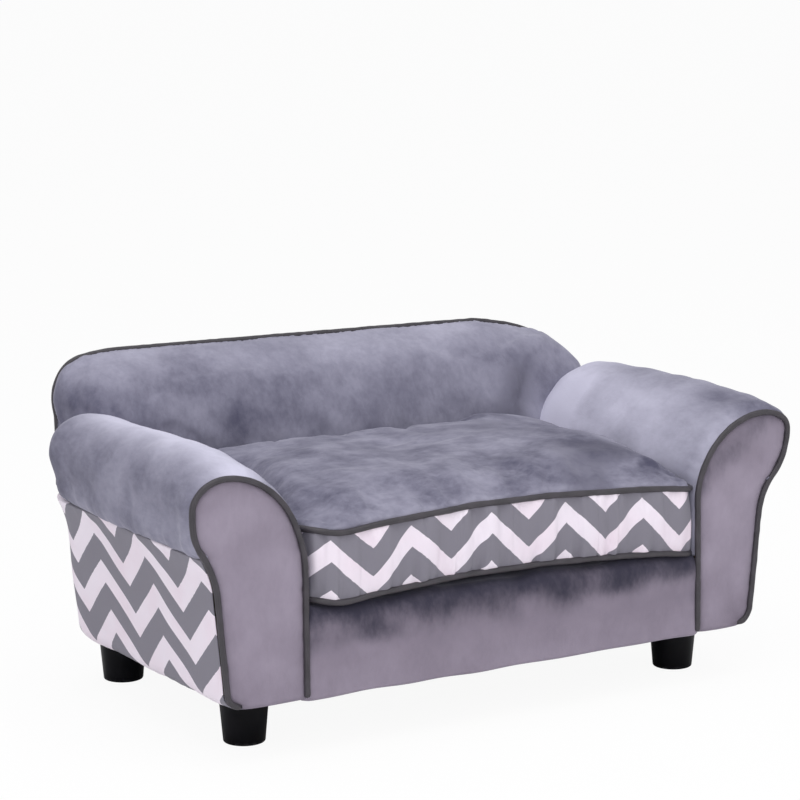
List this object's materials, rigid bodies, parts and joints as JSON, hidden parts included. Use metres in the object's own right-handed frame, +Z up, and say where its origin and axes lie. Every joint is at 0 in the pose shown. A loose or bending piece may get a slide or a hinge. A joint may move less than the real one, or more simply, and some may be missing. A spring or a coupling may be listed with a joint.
{
  "type": "pet sofa bed",
  "caption": "Small-dog sofa bed with rolled arms, an arched padded back, tapered feet and a loose zipped box cushion with chevron boxing.",
  "frame": {"origin": "on the floor under the middle of the sofa's box", "axes": "+Z up, +X across the sofa to its right-hand arm as seen from the front, -Y towards the front"},
  "size_m": [0.68, 0.372, 0.334],
  "materials": {
    "velvet": "crushed velvet",
    "chevron_cloth": "printed twill",
    "piping_cord": "bias-covered cord",
    "foam": "open-cell foam",
    "deck_lining": "non-woven lining",
    "plywood": "raw plywood",
    "fibreboard": "raw hardboard",
    "black_plastic": "moulded, satin",
    "zinc_steel": "zinc plated",
    "zip_nylon": "woven tape and moulded coil"
  },
  "bodies": {
    "sofa": {"back_board": "plywood", "back_foam": "foam", "back_inner_cover": "velvet", "back_outer_cover": "chevron_cloth", "back_piping": "piping_cord", "deck_cleats": "plywood", "deck_cloth": "deck_lining", "deck_screws": "zinc_steel", "dust_cover": "deck_lining", "foot_bolts": "zinc_steel", "foot_inserts": "zinc_steel", "front_left_foot": "black_plastic", "front_rail_board": "plywood", "front_rail_cover": "velvet", "front_rail_foam": "foam", "front_right_foot": "black_plastic", "left_arm_base_board": "plywood", "left_arm_cap_board": "plywood", "left_arm_front_board": "plywood", "left_arm_inner_board": "plywood", "left_arm_inner_foam": "foam", "left_arm_rear_board": "plywood", "left_arm_roll_cover": "velvet", "left_arm_roll_foam": "foam", "left_arm_side_board": "fibreboard", "left_arm_side_wadding": "foam", "left_facing_cover": "velvet", "left_facing_foam": "foam", "left_facing_piping": "piping_cord", "left_side_panel": "chevron_cloth", "rear_left_foot": "black_plastic", "rear_rail_board": "plywood", "rear_right_foot": "black_plastic", "right_arm_base_board": "plywood", "right_arm_cap_board": "plywood", "right_arm_front_board": "plywood", "right_arm_inner_board": "plywood", "right_arm_inner_foam": "foam", "right_arm_rear_board": "plywood", "right_arm_roll_cover": "velvet", "right_arm_roll_foam": "foam", "right_arm_side_board": "fibreboard", "right_arm_side_wadding": "foam", "right_facing_cover": "velvet", "right_facing_foam": "foam", "right_facing_piping": "piping_cord", "right_side_panel": "chevron_cloth", "seat_brace": "plywood", "seat_deck_board": "plywood"},
    "cushion": {"cushion_bottom_panel": "velvet", "cushion_bottom_piping": "piping_cord", "cushion_boxing": "chevron_cloth", "cushion_foam": "foam", "cushion_top_panel": "velvet", "cushion_top_piping": "piping_cord", "zip_coil": "zip_nylon", "zip_tape": "zip_nylon"},
    "zip_slider": {"zip_slider": "zinc_steel"},
    "zip_pull": {"zip_pull": "zinc_steel"}
  },
  "joints": [
    {"name": "cushion_lift", "type": "slide", "parent": "sofa", "child": "cushion", "axis": [0, 0, 1], "range_m": [0, 0.22]},
    {"name": "zip_slide", "type": "slide", "parent": "cushion", "child": "zip_slider", "axis": [1, 0, 0], "range_m": [0, 0.33]},
    {"name": "zip_pull_swing", "type": "hinge", "parent": "zip_slider", "child": "zip_pull", "pos_m": [-0.1652, 0.0821, 0.177], "axis": [1, 0, 0], "range_deg": [0, 35]}
  ]
}
